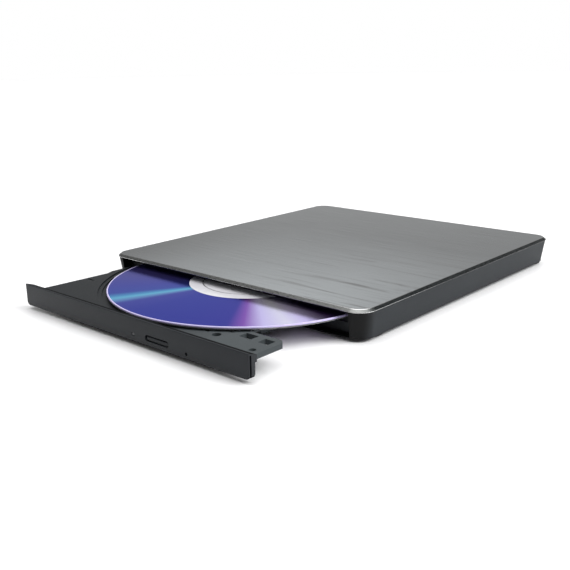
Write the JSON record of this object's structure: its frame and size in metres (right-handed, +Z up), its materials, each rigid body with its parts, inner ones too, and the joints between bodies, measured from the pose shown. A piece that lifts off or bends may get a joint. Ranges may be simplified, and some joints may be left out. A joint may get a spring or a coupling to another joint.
{
  "type": "external optical drive",
  "caption": "Slim external optical drive with a tray half open and a disc on its spindle: reads and writes discs over a USB lead.",
  "frame": {"origin": "on the table under the middle of the whole, with the tray 50 mm out", "axes": "+X to the right seen from the front, +Y to the back, away from the tray, +Z up"},
  "size_m": [0.144, 0.205, 0.013],
  "materials": {
    "cover_metal": "fine brushed satin, bevelled rim",
    "case_plastic": "fine moulded texture",
    "bezel_plastic": "satin moulded",
    "tray_plastic": "satin moulded",
    "rubber": "matte",
    "screw_steel": "black zinc",
    "black_steel": "black coated",
    "sheet_steel": "zinc plated sheet",
    "polished_steel": "polished",
    "circuit_board": "solder mask",
    "black_plastic": "moulded",
    "flex_film": "polyimide film",
    "light_pipe": "smoked clear",
    "disc_plastic": "violet recordable face, clear rim",
    "lens_glass": "coated"
  },
  "bodies": {
    "case": {"top_cover": "cover_metal", "bottom_case": "case_plastic", "foot_front_left": "rubber", "case_screw_front_left": "screw_steel", "foot_front_right": "rubber", "case_screw_front_right": "screw_steel", "foot_rear_left": "rubber", "case_screw_rear_left": "screw_steel", "foot_rear_right": "rubber", "case_screw_rear_right": "screw_steel", "drive_chassis": "sheet_steel", "drive_cover": "sheet_steel", "cover_screw_1": "screw_steel", "cover_screw_2": "screw_steel", "cover_screw_3": "screw_steel", "cover_screw_4": "screw_steel", "outer_rail_left": "sheet_steel", "outer_rail_right": "sheet_steel", "main_board": "circuit_board", "main_chip": "black_plastic", "flex_cable": "flex_film", "drive_sata_plug": "black_plastic", "bridge_sata_socket": "black_plastic", "bridge_board": "circuit_board", "bridge_chip": "black_plastic", "bridge_capacitor": "polished_steel", "usb_socket": "polished_steel"},
    "rail_left": {"middle_rail_left": "polished_steel"},
    "rail_right": {"middle_rail_right": "polished_steel"},
    "tray": {"tray": "tray_plastic", "front_bezel": "bezel_plastic", "led_light_pipe": "light_pipe", "tray_board": "circuit_board", "eject_switch": "black_plastic", "latch_solenoid": "sheet_steel", "tray_bottom_plate": "sheet_steel", "traverse_base": "sheet_steel", "traverse_cover": "black_steel", "spindle_motor": "sheet_steel", "guide_rod_rear": "polished_steel", "guide_rod_front": "polished_steel", "sled_motor": "sheet_steel", "damper_1": "rubber", "damper_screw_1": "screw_steel", "damper_2": "rubber", "damper_screw_2": "screw_steel", "damper_3": "rubber", "damper_screw_3": "screw_steel"},
    "hub": {"disc_hub": "black_plastic", "disc": "disc_plastic"},
    "claw_1": {"chuck_claw_1": "black_plastic"},
    "claw_2": {"chuck_claw_2": "black_plastic"},
    "claw_3": {"chuck_claw_3": "black_plastic"},
    "sled": {"pickup_sled": "black_steel"},
    "lens": {"lens_holder": "black_plastic", "objective_lens": "lens_glass"},
    "lead_screw": {"lead_screw": "polished_steel"},
    "button": {"eject_button": "bezel_plastic"},
    "latch": {"latch_hook": "tray_plastic"},
    "plunger": {"eject_plunger": "polished_steel"}
  },
  "joints": [
    {"name": "tray_slide", "type": "slide", "parent": "case", "child": "tray", "axis": [0, -1, 0], "range_m": [-0.05, 0.079], "deforming": ["flex_cable"]},
    {"name": "rail_left_slide", "type": "slide", "parent": "case", "child": "rail_left", "axis": [0, -1, 0], "range_m": [-0.025, 0.0395]},
    {"name": "rail_right_slide", "type": "slide", "parent": "case", "child": "rail_right", "axis": [0, -1, 0], "range_m": [-0.025, 0.0395]},
    {"name": "disc_spin", "type": "hinge", "parent": "tray", "child": "hub", "pos_m": [0.0025, -0.0365, 0.0079], "axis": [0, 0, 1], "continuous": true},
    {"name": "claw_1_slide", "type": "slide", "parent": "hub", "child": "claw_1", "axis": [-0.7071, 0.7071, 0], "range_m": [0, 0.0005], "stiffness_N_per_m": 150},
    {"name": "claw_2_slide", "type": "slide", "parent": "hub", "child": "claw_2", "axis": [-0.2588, -0.9659, 0], "range_m": [0, 0.0005], "stiffness_N_per_m": 150},
    {"name": "claw_3_slide", "type": "slide", "parent": "hub", "child": "claw_3", "axis": [0.9659, 0.2588, 0], "range_m": [0, 0.0005], "stiffness_N_per_m": 150},
    {"name": "sled_slide", "type": "slide", "parent": "tray", "child": "sled", "axis": [-0.7071, -0.7071, 0], "range_m": [0, 0.028]},
    {"name": "lens_focus", "type": "slide", "parent": "sled", "child": "lens", "axis": [0, 0, 1], "range_m": [-0.00025, 0.00025], "stiffness_N_per_m": 60},
    {"name": "lead_screw_turn", "type": "hinge", "parent": "tray", "child": "lead_screw", "pos_m": [-0.00775, -0.07574, 0.0055], "axis": [-0.7071, -0.7071, 0], "range_deg": [-10, 3400]},
    {"name": "button_press", "type": "slide", "parent": "tray", "child": "button", "axis": [0, 1, 0], "range_m": [0, 0.0008], "stiffness_N_per_m": 400},
    {"name": "latch_turn", "type": "hinge", "parent": "tray", "child": "latch", "pos_m": [0.0315, -0.0905, 0.005], "axis": [0, 0, 1], "range_deg": [0, 12], "stiffness_Nm_per_rad": 0.004},
    {"name": "plunger_push", "type": "slide", "parent": "tray", "child": "plunger", "axis": [0, -1, 0], "range_m": [0, 0.0015], "stiffness_N_per_m": 300}
  ],
  "couplings": [
    {"joint": "rail_left_slide", "follows": "tray_slide", "ratio": 0.5},
    {"joint": "rail_right_slide", "follows": "tray_slide", "ratio": 0.5},
    {"joint": "claw_2_slide", "follows": "claw_1_slide", "ratio": 1},
    {"joint": "claw_3_slide", "follows": "claw_1_slide", "ratio": 1},
    {"joint": "lead_screw_turn", "follows": "sled_slide", "rad_per_m": 2094.4}
  ]
}
